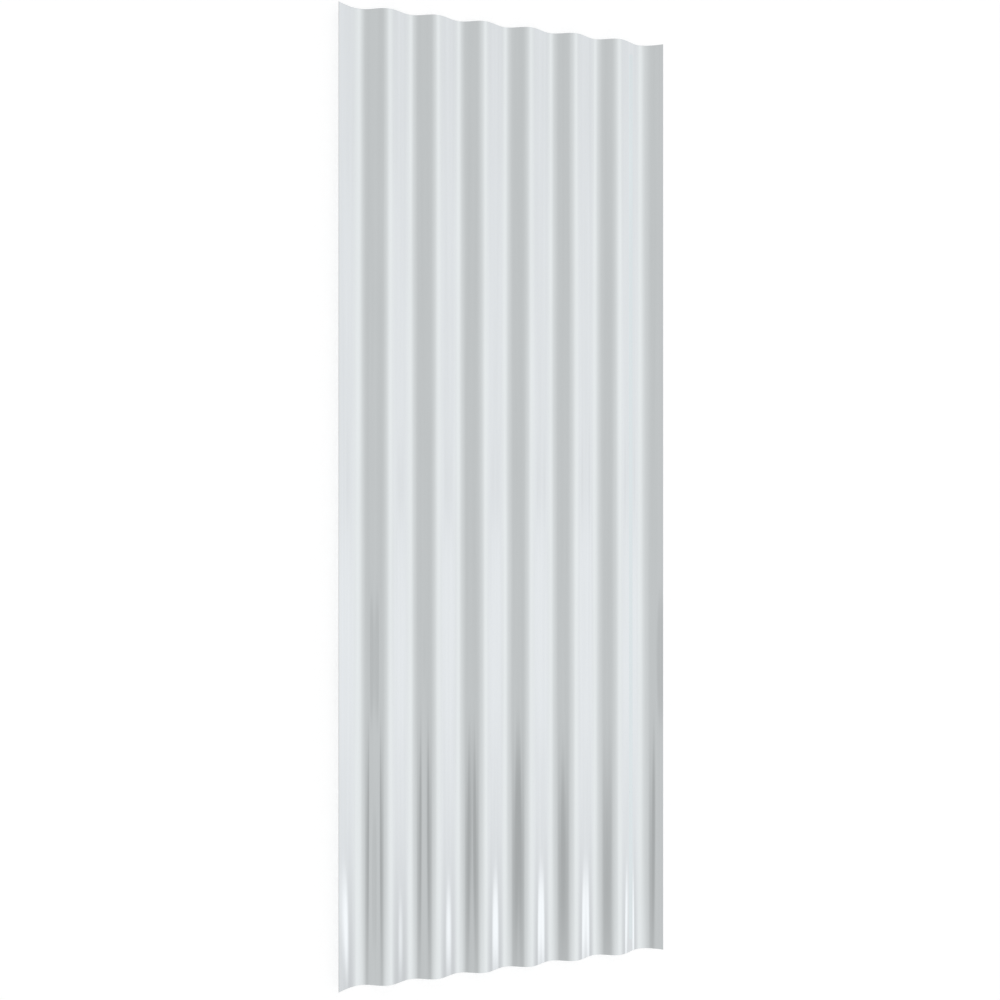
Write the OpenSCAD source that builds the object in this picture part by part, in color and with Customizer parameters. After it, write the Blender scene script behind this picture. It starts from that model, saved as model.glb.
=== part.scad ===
// Corrugated steel sheet: one flat sheet rolled into waves, lying on the floor with its good face up.
// X runs across the waves, Y along them and Z up. The origin is under the middle of the sheet,
// on the floor that its two side valleys lie on.

/* [Sheet] */
// Length along the waves
sheet_length = 1000; // [200:10:3000]
// Thickness of the steel
sheet_thickness = 0.5; // [0.3:0.05:1.5]

/* [Waves] */
// Distance from crest to crest
wave_pitch = 51.3; // [30:0.1:100]
// Height from the inner valleys to the crests
wave_depth = 8.5; // [4:0.1:16]
// Number of crests across the sheet
crest_count = 6; // [1:1:20]

/* [Side laps] */
// Distance across from an outermost crest to its side valley
side_half_wave = 27.75; // [15:0.25:50]
// How much deeper the side valleys are than the inner ones
side_valley_drop = 1.4; // [0:0.1:4]
// Distance across from a side valley to the edge of its lip
lip_run = 23.95; // [15:0.05:40]
// Height of the lip's edge above its side valley
lip_rise = 10.8; // [4:0.1:16]

/* [Smoothness] */
// Facets along each half wave and each lip
half_wave_facets = 12; // [6:1:24]

/* [Hidden] */

// Heights of the middle of the steel above the floor
side_valley_z = sheet_thickness / 2;
valley_z = side_valley_z + side_valley_drop;
crest_z = valley_z + wave_depth;

// Distances from the middle of the sheet
outer_crest_x = (crest_count - 1) / 2 * wave_pitch;
side_valley_x = outer_crest_x + side_half_wave;

sheet_color = [0.86, 0.88, 0.89];

// Each point of the section is [x, z, slope], in the middle of the steel.

// Turning points from the left side valley to the right one: valleys and crests by turns
turning_points = concat(
    [[-side_valley_x, side_valley_z]],
    [for (k = [0 : 2 * (crest_count - 1)])
        [k * wave_pitch / 2 - outer_crest_x, k % 2 == 0 ? crest_z : valley_z]],
    [[side_valley_x, side_valley_z]]
);

// Half a cosine wave from one turning point up to, but not including, the next
function half_wave(from, to) =
    let (run = to.x - from.x, rise = to.y - from.y)
    [for (i = [0 : half_wave_facets - 1])
        let (phase = 180 * i / half_wave_facets)
        [from.x + run * i / half_wave_facets,
         from.y + rise * (1 - cos(phase)) / 2,
         rise / run * PI / 2 * sin(phase)]];

// The right lip: a quarter wave up from the side valley, steepest at its edge
function right_lip() =
    [for (i = [0 : half_wave_facets])
        let (phase = 90 * i / half_wave_facets)
        [side_valley_x + lip_run * i / half_wave_facets,
         side_valley_z + lip_rise * (1 - cos(phase)),
         lip_rise / lip_run * PI / 2 * sin(phase)]];

function reverse(list) = [for (i = [len(list) - 1 : -1 : 0]) list[i]];

function mirrored(points) = [for (p = reverse(points)) [-p.x, p.y, -p.z]];

// The left lip ends at the side valley where the first half wave starts, so it leaves that point out
function left_lip() = let (points = mirrored(right_lip())) [for (i = [0 : len(points) - 2]) points[i]];

function section_points() = concat(
    left_lip(),
    [for (k = [0 : len(turning_points) - 2])
        each half_wave(turning_points[k], turning_points[k + 1])],
    right_lip()
);

// One face of the steel, at a distance from the middle along the surface's normal
function face_points(points, distance) =
    [for (p = points)
        let (tilt = atan(p.z))
        [p.x - distance * sin(tilt), p.y + distance * cos(tilt)]];

module sheet_section() {
    points = section_points();
    polygon(concat(
        face_points(points, sheet_thickness / 2),
        reverse(face_points(points, -sheet_thickness / 2))
    ));
}

module corrugated_sheet() {
    color(sheet_color)
    rotate([90, 0, 0])
    linear_extrude(height = sheet_length, center = true, convexity = 2 * crest_count + 4)
    sheet_section();
}

corrugated_sheet();
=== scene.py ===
import math
from collections import namedtuple

import bmesh
import bpy
from bpy.props import FloatProperty, FloatVectorProperty, IntProperty, PointerProperty
from mathutils import Matrix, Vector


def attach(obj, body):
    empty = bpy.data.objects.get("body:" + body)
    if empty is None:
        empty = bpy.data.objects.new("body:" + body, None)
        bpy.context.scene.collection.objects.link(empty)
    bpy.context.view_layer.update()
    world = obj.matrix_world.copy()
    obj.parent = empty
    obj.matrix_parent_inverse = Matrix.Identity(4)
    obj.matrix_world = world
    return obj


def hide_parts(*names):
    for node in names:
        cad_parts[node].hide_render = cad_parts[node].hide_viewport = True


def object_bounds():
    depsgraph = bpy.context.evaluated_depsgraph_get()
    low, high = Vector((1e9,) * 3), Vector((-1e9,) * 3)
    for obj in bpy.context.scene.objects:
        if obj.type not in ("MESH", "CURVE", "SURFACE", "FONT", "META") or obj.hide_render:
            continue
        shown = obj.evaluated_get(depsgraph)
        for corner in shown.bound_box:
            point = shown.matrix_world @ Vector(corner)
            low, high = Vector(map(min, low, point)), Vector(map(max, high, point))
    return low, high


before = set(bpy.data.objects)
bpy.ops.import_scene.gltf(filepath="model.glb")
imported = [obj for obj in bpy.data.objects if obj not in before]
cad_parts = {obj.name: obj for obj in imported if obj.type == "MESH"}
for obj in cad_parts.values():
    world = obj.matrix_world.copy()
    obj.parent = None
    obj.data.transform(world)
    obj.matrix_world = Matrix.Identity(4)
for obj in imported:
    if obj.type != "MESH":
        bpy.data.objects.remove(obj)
CAD_LOW, CAD_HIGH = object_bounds()

bl_info = {
    "name": "Corrugated Steel Sheet",
    "version": (1, 0, 0),
    "blender": (4, 5, 0),
    "location": "3D View > Sidebar > Sheet",
    "description": "Rolls a corrugated steel sheet and lays it on a studio floor",
    "category": "Add Mesh",
}

SHEET_NODE = "corrugated_sheet"
SHEET_PIECE = "rolled_sheet"

# Second material of the sheet's faces, and the least upward share of a coated face's normal
CUT_EDGE = 1
LEAST_UPWARD = 0.7

# Facets across the rounding of the cut edges
ROUND_FACETS = 2

# How often the rolling lines change along the sheet, and how often its faint clouds repeat, all a metre
LINE_CHANGES = 2.5
CLOUDS_ACROSS = 40.0
CLOUDS_ALONG = 6.0

# Finer levels of noise in the rolling lines, the clouds and the tear marks
LINE_DETAIL = 3.0
CLOUD_DETAIL = 2.0
TEAR_DETAIL = 2.0

# Limits between which nearly all of a noise pattern lies
NOISE_LOW = 0.25
NOISE_HIGH = 0.75

# Share of the lines in the steel's mottle, and shares by which the patterns change its colour and its
# roughness
LINE_SHARE = 0.6
STEEL_MOTTLE = 0.03
ROUGHNESS_SPREAD = 0.2

# Tear marks on the cut edges: how many a metre, how deep, how much they change the colour, and the least
# and greatest roughness that they leave
TEARS = 4000.0
TEAR_DEPTH = 0.00002
EDGE_MOTTLE = 0.15
EDGE_ROUGHNESS = (0.32, 0.48)

# The studio dome is described by two angles in degrees from straight overhead. Across leans towards the
# sheet's right side, and along leans towards its far end. This is the angle of the horizon.
HORIZON = 90

# Brightness of the dome by its angle across
DOME_LEVELS = (
    (-90, 0.79),
    (-66, 0.56),
    (-48, 0.59),
    (-34, 0.58),
    (-20, 0.63),
    (4, 0.76),
    (21, 0.86),
    (44, 0.83),
    (83, 0.80),
)

# Soft oval area of the dome: its middle and half sizes across and along, its lean in degrees, the share of
# its size that is soft edge, and its brightness
DomeArea = namedtuple("DomeArea", "middle half lean soft level")
DOME_AREAS = {
    "near right corner": DomeArea(middle=(70, -52), half=(45, 22), lean=0, soft=1.0, level=0.58),
    "far right corner": DomeArea(middle=(70, 52), half=(45, 22), lean=0, soft=1.0, level=0.58),
    "near glow": DomeArea(middle=(0, -30), half=(35, 14), lean=0, soft=1.0, level=0.85),
    "right glow": DomeArea(middle=(74, -7), half=(38, 8.6), lean=0, soft=0.7, level=0.85),
    "right seam": DomeArea(middle=(67, 1), half=(9.5, 3.5), lean=0, soft=1.0, level=0.78),
    "far right shade": DomeArea(middle=(54, 35), half=(43, 29), lean=0, soft=0.75, level=0.76),
    "near right shade": DomeArea(middle=(62, -26), half=(35, 12), lean=0, soft=1.0, level=0.61),
    "strip lamp": DomeArea(middle=(73, -20.3), half=(9.8, 3.1), lean=8, soft=0.8, level=1.02),
    "left screen": DomeArea(middle=(-44.5, -8), half=(4.5, 3.8), lean=0, soft=0.45, level=0.52),
    "near left screen": DomeArea(middle=(-48, -18.5), half=(3.2, 4), lean=0, soft=0.3, level=0.55),
    "near left shade": DomeArea(middle=(-30.5, -18.5), half=(11, 8.3), lean=20, soft=1.0, level=0.47),
    "near left gap": DomeArea(middle=(-35.5, -16.5), half=(4.6, 6.8), lean=20, soft=0.7, level=0.42),
}

# Brightness of the dome's two ends, and the angles along between which it fades to that
DOME_END_LEVEL = 0.79
DOME_END_FADE = (70, 82)

# Brightness of the dome's rim, which the far floor has too, and the heights in degrees between which it
# fades to that
DOME_RIM_LEVEL = 0.80
DOME_RIM_FADE = (9, 1)

# Faint cool tint of the dome's right side, and the angles across between which it comes in
DOME_COOL_TINT = (1.005, 1.0, 1.015)
DOME_COOL_FADE = (25, 60)

# Width of the camera's sensor in millimetres
SENSOR_WIDTH = 36.0


class SheetSizes(bpy.types.PropertyGroup):
    """Sizes of the rolled sheet."""

    length: FloatProperty(
        name="Length",
        description="Length along the waves",
        default=CAD_HIGH.y - CAD_LOW.y,
        unit="LENGTH",
    )
    thickness: FloatProperty(
        name="Thickness",
        description="Thickness of the steel",
        default=0.0005,
        unit="LENGTH",
    )
    wave_pitch: FloatProperty(
        name="Wave Pitch",
        description="Distance from crest to crest",
        default=0.0513,
        unit="LENGTH",
    )
    wave_depth: FloatProperty(
        name="Wave Depth",
        description="Height from the inner valleys to the crests",
        default=0.0085,
        unit="LENGTH",
    )
    crest_count: IntProperty(
        name="Crests",
        description="Number of crests across the sheet",
        default=6,
        min=1,
    )
    side_half_wave: FloatProperty(
        name="Side Half Wave",
        description="Distance across from an outermost crest to its side valley",
        default=0.02775,
        unit="LENGTH",
    )
    side_valley_drop: FloatProperty(
        name="Side Valley Drop",
        description="How much deeper the side valleys are than the inner ones",
        default=0.0014,
        unit="LENGTH",
    )
    lip_run: FloatProperty(
        name="Lip Run",
        description="Distance across from a side valley to the edge of its lip",
        default=0.02395,
        unit="LENGTH",
    )
    lip_rise: FloatProperty(
        name="Lip Rise",
        description="Height of the lip's edge above its side valley",
        default=0.0108,
        unit="LENGTH",
    )
    edge_round: FloatProperty(
        name="Edge Round",
        description="Width of the rounding that shearing leaves along the cut edges",
        default=0.00008,
        unit="LENGTH",
    )
    steps_across: IntProperty(
        name="Steps Across",
        description="Faces across the sheet on each side",
        default=360,
        min=40,
    )
    steps_along: IntProperty(
        name="Steps Along",
        description="Faces along the sheet on each side",
        default=20,
        min=1,
    )


class SheetFinish(bpy.types.PropertyGroup):
    """Colours and gloss of the steel."""

    steel_color: FloatVectorProperty(
        name="Steel",
        description="Colour of the bright metallic coating",
        default=(0.906, 0.945, 0.958),
        subtype="COLOR",
        min=0.0,
        max=1.0,
    )
    edge_color: FloatVectorProperty(
        name="Cut Edge",
        description="Colour of the bare steel along the cut edges",
        default=(0.50, 0.51, 0.52),
        subtype="COLOR",
        min=0.0,
        max=1.0,
    )
    roughness: FloatProperty(
        name="Roughness",
        description="Mean roughness of the coating",
        default=0.06,
        subtype="FACTOR",
        min=0.0,
        max=1.0,
    )
    line_spacing: FloatProperty(
        name="Rolling Lines",
        description="Mean distance between the faint lines that rolling leaves along the sheet",
        default=0.0035,
        unit="LENGTH",
    )
    line_height: FloatProperty(
        name="Line Height",
        description="Height of the rolling lines",
        default=0.00002,
        unit="LENGTH",
    )


class StudioSettings(bpy.types.PropertyGroup):
    """The floor and the camera."""

    floor_side: FloatProperty(
        name="Floor Side",
        description="Side of the square floor",
        default=200.0,
        unit="LENGTH",
    )
    floor_color: FloatVectorProperty(
        name="Floor",
        description="Colour of the floor",
        default=(0.60, 0.60, 0.60),
        subtype="COLOR",
        min=0.0,
        max=1.0,
    )
    floor_glow: FloatProperty(
        name="Floor Glow",
        description="White that the floor adds for the camera and for mirrors",
        default=0.58,
        min=0.0,
        max=1.0,
    )
    far_glow: FloatProperty(
        name="Far Floor Glow",
        description="White that the floor adds far away, where it meets the rim of the dome",
        default=0.37,
        min=0.0,
        max=1.0,
    )
    fade_start: FloatProperty(
        name="Fade Start",
        description="Distance from the sheet's middle at which the floor's glow starts to fade",
        default=2.0,
        unit="LENGTH",
    )
    fade_end: FloatProperty(
        name="Fade End",
        description="Distance from the sheet's middle at which the floor's glow has faded",
        default=10.0,
        unit="LENGTH",
    )
    view_tilt: FloatProperty(
        name="View Tilt",
        description="Angle of the camera's axis from straight down, towards the sheet's left side",
        default=math.radians(17.678),
        subtype="ANGLE",
    )
    view_distance: FloatProperty(
        name="View Distance",
        description="Distance along the camera's axis to the level of the floor's middle",
        default=1.21642,
        unit="LENGTH",
    )
    view_offset: FloatProperty(
        name="View Offset",
        description="How far the floor's middle lies to the right of the camera's axis",
        default=0.00542,
        unit="LENGTH",
    )
    lens: FloatProperty(
        name="Lens",
        description="Focal length of the camera, in millimetres",
        default=41.076,
        unit="CAMERA",
    )
    frame_shift: FloatProperty(
        name="Frame Shift",
        description="Upward shift of the frame, as a share of its width",
        default=-0.00306,
    )


def turning_places(sizes):
    """Distances from the sheet's middle to an outermost crest, its side valley and the side edge."""
    crest = (sizes.crest_count - 1) / 2 * sizes.wave_pitch
    valley = crest + sizes.side_half_wave
    return crest, valley, valley + sizes.lip_run


def turning_heights(sizes):
    """Heights of a side valley, an inner valley and a crest, in the middle of the steel."""
    side_valley = sizes.thickness / 2
    valley = side_valley + sizes.side_valley_drop
    return side_valley, valley, valley + sizes.wave_depth


def section_height(sizes, x):
    """Height of the middle of the steel above the floor, at x from the middle of the sheet."""
    outer_crest, side_valley, _ = turning_places(sizes)
    side_valley_z, valley_z, crest_z = turning_heights(sizes)
    x = abs(x)
    if x <= outer_crest:
        phase = 2 * math.pi * (outer_crest - x) / sizes.wave_pitch
        return valley_z + (crest_z - valley_z) * (1 + math.cos(phase)) / 2
    if x <= side_valley:
        phase = math.pi * (x - outer_crest) / sizes.side_half_wave
        return side_valley_z + (crest_z - side_valley_z) * (1 + math.cos(phase)) / 2
    phase = math.pi / 2 * (x - side_valley) / sizes.lip_run
    return side_valley_z + sizes.lip_rise * (1 - math.cos(phase))


def roll_sheet_mesh(sizes):
    """The sheet as a closed mesh: a flat grid pressed into waves, then given its thickness and rims."""
    _, _, side_edge = turning_places(sizes)
    bm = bmesh.new()
    bmesh.ops.create_grid(
        bm,
        x_segments=sizes.steps_across,
        y_segments=sizes.steps_along,
        size=1.0,
        matrix=Matrix.Diagonal((side_edge, sizes.length / 2, 1.0, 1.0)),
    )
    for vert in bm.verts:
        vert.co.z = section_height(sizes, vert.co.x)
    bm.normal_update()
    for vert in bm.verts:
        vert.co += vert.normal * sizes.thickness / 2
    bmesh.ops.solidify(bm, geom=bm.faces[:], thickness=sizes.thickness)
    round_cut_edges(bm, sizes.edge_round)
    mesh = bpy.data.meshes.new(SHEET_PIECE)
    bm.to_mesh(mesh)
    bm.free()
    return mesh


def round_cut_edges(bm, edge_round):
    """Round the sheared rim, give it its own material and keep its shading apart from the coated faces."""
    bm.normal_update()
    for face in bm.faces:
        face.smooth = True
        if is_cut_face(face):
            face.material_index = CUT_EDGE
    rims = [edge for edge in bm.edges if borders_cut_face(edge)]
    rounding = bmesh.ops.bevel(
        bm,
        geom=rims,
        offset=edge_round,
        segments=ROUND_FACETS,
        profile=0.5,
        affect="EDGES",
        material=-1,
    )
    for face in rounding["faces"]:
        face.material_index = CUT_EDGE
    for edge in bm.edges:
        edge.smooth = not borders_cut_face(edge)


def is_cut_face(face):
    """True for a face of the sheared rim, which stands much steeper than any wave or lip."""
    return abs(face.normal.z) < LEAST_UPWARD


def borders_cut_face(edge):
    """True for an edge between the coated faces and the sheared rim."""
    return len({face.material_index for face in edge.link_faces}) == 2


class SHEET_OT_roll_sheet(bpy.types.Operator):
    """Roll the corrugated sheet and give it its bright steel finish"""

    bl_idname = "sheet.roll_sheet"
    bl_label = "Roll Sheet"

    def execute(self, context):
        sizes = context.scene.sheet_sizes
        finish = context.scene.sheet_finish
        mesh = roll_sheet_mesh(sizes)
        piece = bpy.data.objects.new(SHEET_PIECE, mesh)
        context.collection.objects.link(piece)
        mesh.materials.append(coated_steel(finish))
        mesh.materials.append(cut_steel(finish))
        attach(piece, "root")
        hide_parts(SHEET_NODE)
        return {"FINISHED"}


def coated_steel(finish):
    """Bright coated steel, faintly clouded, with fine rolling lines along the sheet."""
    material, tree, shader = new_metal("coated_steel")
    lines = noise_pattern(tree, (1.0 / finish.line_spacing, LINE_CHANGES, 0.0), LINE_DETAIL)
    clouds = noise_pattern(tree, (CLOUDS_ACROSS, CLOUDS_ALONG, 0.0), CLOUD_DETAIL)

    mottle = math_node(
        tree,
        "ADD",
        math_node(tree, "MULTIPLY", lines, LINE_SHARE),
        math_node(tree, "MULTIPLY", clouds, 1.0 - LINE_SHARE),
    )
    color = shaded_color(tree, mottle, finish.steel_color, STEEL_MOTTLE)
    tree.links.new(color, shader.inputs["Base Color"])

    smoothest = finish.roughness * (1.0 - ROUGHNESS_SPREAD)
    roughest = finish.roughness * (1.0 + ROUGHNESS_SPREAD)
    tree.links.new(spread(tree, lines, smoothest, roughest), shader.inputs["Roughness"])
    raise_pattern(tree, shader, lines, finish.line_height)
    return material


def cut_steel(finish):
    """Bare grey steel where the sheet was sheared, with the fine tear marks of the blade."""
    material, tree, shader = new_metal("cut_steel")
    tears = noise_pattern(tree, (TEARS, TEARS, TEARS), TEAR_DETAIL)
    color = shaded_color(tree, tears, finish.edge_color, EDGE_MOTTLE)
    tree.links.new(color, shader.inputs["Base Color"])
    tree.links.new(spread(tree, tears, *EDGE_ROUGHNESS), shader.inputs["Roughness"])
    raise_pattern(tree, shader, tears, TEAR_DEPTH)
    return material


def new_metal(name):
    """A new material with its node tree and its shader, which is set to bare metal."""
    material = bpy.data.materials.new(name)
    material.use_nodes = True
    tree = material.node_tree
    shader = tree.nodes["Principled BSDF"]
    shader.inputs["Metallic"].default_value = 1.0
    return material, tree, shader


def raise_pattern(tree, shader, pattern, height):
    """Raise the surface where the pattern is high, up to a height."""
    bump = tree.nodes.new("ShaderNodeBump")
    bump.inputs["Distance"].default_value = height
    tree.links.new(pattern, bump.inputs["Height"])
    tree.links.new(bump.outputs["Normal"], shader.inputs["Normal"])


def noise_pattern(tree, scale, detail):
    """Noise on the sheet's own coordinates, with so many features a metre along each axis."""
    place = tree.nodes.new("ShaderNodeTexCoord")
    stretch = tree.nodes.new("ShaderNodeMapping")
    stretch.inputs["Scale"].default_value = scale
    tree.links.new(place.outputs["Object"], stretch.inputs["Vector"])
    noise = tree.nodes.new("ShaderNodeTexNoise")
    noise.inputs["Scale"].default_value = 1.0
    noise.inputs["Detail"].default_value = detail
    tree.links.new(stretch.outputs["Vector"], noise.inputs["Vector"])
    return noise.outputs["Fac"]


def spread(tree, pattern, low, high):
    """A noise pattern spread between two numbers."""
    between = tree.nodes.new("ShaderNodeMapRange")
    between.inputs["From Min"].default_value = NOISE_LOW
    between.inputs["From Max"].default_value = NOISE_HIGH
    between.inputs["To Min"].default_value = low
    between.inputs["To Max"].default_value = high
    tree.links.new(pattern, between.inputs["Value"])
    return between.outputs["Result"]


def shaded_color(tree, pattern, color, share):
    """A colour that a noise pattern makes lighter and darker by a share."""
    mix = tree.nodes.new("ShaderNodeMix")
    mix.data_type = "RGBA"
    mix.inputs["A"].default_value = (*[part * (1.0 - share) for part in color], 1.0)
    mix.inputs["B"].default_value = (*[part * (1.0 + share) for part in color], 1.0)
    tree.links.new(spread(tree, pattern, 0.0, 1.0), mix.inputs["Factor"])
    return mix.outputs["Result"]


def math_node(tree, operation, *values):
    """The output of a Math node whose inputs are the given numbers or sockets."""
    node = tree.nodes.new("ShaderNodeMath")
    node.operation = operation
    for socket, value in zip(node.inputs, values):
        if isinstance(value, bpy.types.NodeSocket):
            tree.links.new(value, socket)
        else:
            socket.default_value = value
    return node.outputs[0]


def smooth_fade(tree, value, zero_at, one_at):
    """A smooth step of the value from 0 to 1 between two limits, which may run downwards."""
    fade = tree.nodes.new("ShaderNodeMapRange")
    fade.interpolation_type = "SMOOTHSTEP"
    fade.inputs["From Min"].default_value = zero_at
    fade.inputs["From Max"].default_value = one_at
    tree.links.new(value, fade.inputs["Value"])
    return fade.outputs["Result"]


def mix_level(tree, mask, level, other):
    """The level where the mask is 0, and the other number where it is 1."""
    mix = tree.nodes.new("ShaderNodeMix")
    mix.data_type = "FLOAT"
    tree.links.new(mask, mix.inputs["Factor"])
    tree.links.new(level, mix.inputs["A"])
    mix.inputs["B"].default_value = other
    return mix.outputs["Result"]


def area_mask(tree, angles, name, area):
    """1 inside an area of the dome, falling to 0 at its rim over the soft share of its size."""
    place = tree.nodes.new("ShaderNodeMapping")
    place.label = name
    place.vector_type = "TEXTURE"
    place.inputs["Location"].default_value = (*area.middle, 0.0)
    place.inputs["Rotation"].default_value = (0.0, 0.0, math.radians(area.lean))
    place.inputs["Scale"].default_value = (*area.half, 1.0)
    tree.links.new(angles, place.inputs["Vector"])
    radius = vector_length(tree, place.outputs["Vector"])
    return smooth_fade(tree, radius, 1.0, 1.0 - area.soft)


def vector_length(tree, vector):
    """The length of a vector."""
    node = tree.nodes.new("ShaderNodeVectorMath")
    node.operation = "LENGTH"
    tree.links.new(vector, node.inputs[0])
    return node.outputs["Value"]


def level_across(tree, across):
    """Brightness of the dome by its angle across."""
    ramp = tree.nodes.new("ShaderNodeValToRGB")
    ramp.color_ramp.interpolation = "CARDINAL"
    stops = ramp.color_ramp.elements
    # New stops start in the middle of the ramp, and all of them get their places below.
    while len(stops) < len(DOME_LEVELS):
        stops.new(0.5)
    for stop, (angle, level) in zip(stops, DOME_LEVELS):
        stop.position = (angle + HORIZON) / (2 * HORIZON)
        stop.color = (level, level, level, 1.0)
    share = math_node(tree, "DIVIDE", math_node(tree, "ADD", across, HORIZON), 2 * HORIZON)
    tree.links.new(share, ramp.inputs["Fac"])
    return ramp.outputs["Color"]


def cool_tint(tree, across):
    """White light that turns faintly cool on the dome's right side."""
    tint = tree.nodes.new("ShaderNodeMix")
    tint.data_type = "RGBA"
    tint.inputs["A"].default_value = (1.0, 1.0, 1.0, 1.0)
    tint.inputs["B"].default_value = (*DOME_COOL_TINT, 1.0)
    tree.links.new(smooth_fade(tree, across, *DOME_COOL_FADE), tint.inputs["Factor"])
    return tint.outputs["Result"]


def light_dome(scene):
    """A pale studio dome, bright a little right of overhead, with a strip lamp low on the right."""
    world = bpy.data.worlds.new("studio_dome")
    scene.world = world
    world.use_nodes = True
    tree = world.node_tree
    place = tree.nodes.new("ShaderNodeTexCoord")
    direction = tree.nodes.new("ShaderNodeSeparateXYZ")
    tree.links.new(place.outputs["Generated"], direction.inputs[0])
    across = math_node(tree, "ARCTAN2", direction.outputs["X"], direction.outputs["Z"])
    across = math_node(tree, "DEGREES", across)
    along = math_node(tree, "DEGREES", math_node(tree, "ARCSINE", direction.outputs["Y"]))
    height = math_node(tree, "DEGREES", math_node(tree, "ARCSINE", direction.outputs["Z"]))
    angles = tree.nodes.new("ShaderNodeCombineXYZ")
    tree.links.new(across, angles.inputs["X"])
    tree.links.new(along, angles.inputs["Y"])

    ends = smooth_fade(tree, math_node(tree, "ABSOLUTE", along), *DOME_END_FADE)
    level = mix_level(tree, ends, level_across(tree, across), DOME_END_LEVEL)
    for name, area in DOME_AREAS.items():
        mask = area_mask(tree, angles.outputs["Vector"], name, area)
        level = mix_level(tree, mask, level, area.level)
    rim = smooth_fade(tree, height, *DOME_RIM_FADE)
    level = mix_level(tree, rim, level, DOME_RIM_LEVEL)

    background = tree.nodes["Background"]
    tree.links.new(cool_tint(tree, across), background.inputs["Color"])
    tree.links.new(level, background.inputs["Strength"])


def floor_material(studio):
    """Plain pale floor, which takes the sheet's shadow and fades into the rim of the dome far away."""
    material = bpy.data.materials.new("studio_floor")
    material.use_nodes = True
    tree = material.node_tree
    tree.nodes.clear()
    out = tree.nodes.new("ShaderNodeOutputMaterial")
    paint = tree.nodes.new("ShaderNodeBsdfDiffuse")
    paint.inputs["Color"].default_value = (*studio.floor_color, 1.0)
    rays = tree.nodes.new("ShaderNodeLightPath")
    seen = math_node(
        tree,
        "MAXIMUM",
        rays.outputs["Is Camera Ray"],
        math_node(
            tree,
            "MAXIMUM",
            rays.outputs["Is Glossy Ray"],
            rays.outputs["Is Transmission Ray"],
        ),
    )
    glow = tree.nodes.new("ShaderNodeEmission")
    strength = math_node(tree, "MULTIPLY", seen, added_white(tree, studio))
    tree.links.new(strength, glow.inputs["Strength"])
    both = tree.nodes.new("ShaderNodeAddShader")
    tree.links.new(paint.outputs[0], both.inputs[0])
    tree.links.new(glow.outputs[0], both.inputs[1])
    tree.links.new(both.outputs[0], out.inputs["Surface"])
    return material


def added_white(tree, studio):
    """White that the floor adds for the camera and for mirrors, by its distance from the sheet's middle."""
    place = tree.nodes.new("ShaderNodeTexCoord")
    distance = vector_length(tree, place.outputs["Object"])
    far = smooth_fade(tree, distance, studio.fade_start, studio.fade_end)
    change = studio.far_glow - studio.floor_glow
    return math_node(tree, "MULTIPLY_ADD", far, change, studio.floor_glow)


def lay_floor(context, studio):
    """A flat square floor under the sheet."""
    bm = bmesh.new()
    bmesh.ops.create_grid(bm, x_segments=1, y_segments=1, size=studio.floor_side / 2)
    mesh = bpy.data.meshes.new("studio_floor")
    bm.to_mesh(mesh)
    bm.free()
    floor = bpy.data.objects.new("studio_floor", mesh)
    context.collection.objects.link(floor)
    mesh.materials.append(floor_material(studio))


def aim_camera(context, studio):
    """A camera that looks down on the sheet from its left side, with the waves upright in the frame."""
    tilt = studio.view_tilt
    data = bpy.data.cameras.new("camera")
    data.sensor_width = SENSOR_WIDTH
    data.lens = studio.lens
    data.shift_y = studio.frame_shift
    camera = bpy.data.objects.new("camera", data)
    camera.location = (
        -studio.view_distance * math.sin(tilt) - studio.view_offset * math.cos(tilt),
        0.0,
        studio.view_distance * math.cos(tilt) - studio.view_offset * math.sin(tilt),
    )
    camera.rotation_euler = (0.0, -tilt, 0.0)
    context.collection.objects.link(camera)
    context.scene.camera = camera


class SHEET_OT_set_stage(bpy.types.Operator):
    """Lay the floor, light the dome and aim the camera"""

    bl_idname = "sheet.set_stage"
    bl_label = "Set Stage"

    def execute(self, context):
        studio = context.scene.sheet_studio
        lay_floor(context, studio)
        light_dome(context.scene)
        aim_camera(context, studio)
        context.scene.view_settings.view_transform = "Standard"
        return {"FINISHED"}


class SHEET_PT_sidebar(bpy.types.Panel):
    """Sizes, finish and stage of the sheet"""

    bl_label = "Corrugated Sheet"
    bl_space_type = "VIEW_3D"
    bl_region_type = "UI"
    bl_category = "Sheet"

    def draw(self, context):
        scene = context.scene
        for group in (scene.sheet_sizes, scene.sheet_finish, scene.sheet_studio):
            column = self.layout.column()
            for name in group.__annotations__:
                column.prop(group, name)
        self.layout.operator(SHEET_OT_roll_sheet.bl_idname)
        self.layout.operator(SHEET_OT_set_stage.bl_idname)


CLASSES = (
    SheetSizes,
    SheetFinish,
    StudioSettings,
    SHEET_OT_roll_sheet,
    SHEET_OT_set_stage,
    SHEET_PT_sidebar,
)


def register():
    """Add the classes and the scene's settings."""
    for cls in CLASSES:
        bpy.utils.register_class(cls)
    bpy.types.Scene.sheet_sizes = PointerProperty(type=SheetSizes)
    bpy.types.Scene.sheet_finish = PointerProperty(type=SheetFinish)
    bpy.types.Scene.sheet_studio = PointerProperty(type=StudioSettings)


def unregister():
    """Take the scene's settings and the classes away again."""
    del bpy.types.Scene.sheet_studio
    del bpy.types.Scene.sheet_finish
    del bpy.types.Scene.sheet_sizes
    for cls in reversed(CLASSES):
        bpy.utils.unregister_class(cls)


def main():
    """Make the sheet and its stage."""
    register()
    bpy.ops.sheet.roll_sheet()
    bpy.ops.sheet.set_stage()


if __name__ == "__main__":
    main()
